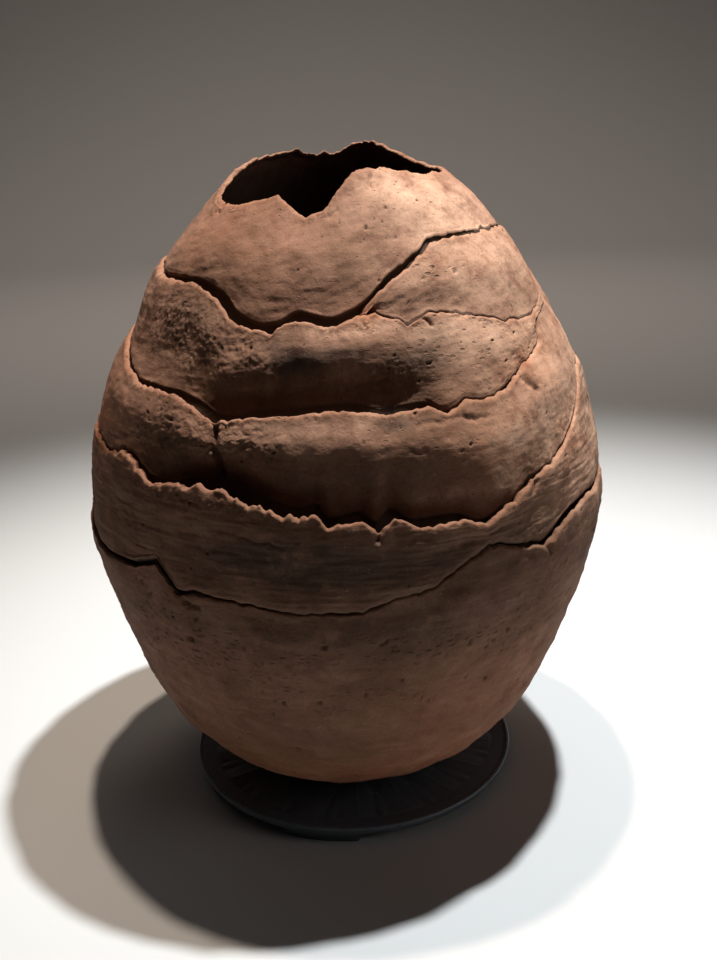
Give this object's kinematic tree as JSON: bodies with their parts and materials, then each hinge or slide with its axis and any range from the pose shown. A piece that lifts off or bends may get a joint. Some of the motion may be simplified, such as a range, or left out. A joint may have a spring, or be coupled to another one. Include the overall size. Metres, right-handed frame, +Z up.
{
  "type": "hand-built ovoid clay vase on a cast stand",
  "caption": "Egg-shaped open vase of unglazed clay, built from torn overlapping slabs, resting on a low round black stand with bracket feet.",
  "frame": {"origin": "on the ground under the middle of the stand", "axes": "+Z up; the vase's front, with the low notch of the mouth, faces -Y; +X is to the right seen from the front"},
  "size_m": [0.2865, 0.2845, 0.3588],
  "materials": {
    "clay": "unglazed, matt, scraped, with torn edges, pits and smoke marks",
    "black_iron": "satin black cast surface with a worn lip"
  },
  "bodies": {
    "root": {"vase": "clay", "stand": "black_iron"}
  },
  "joints": []
}
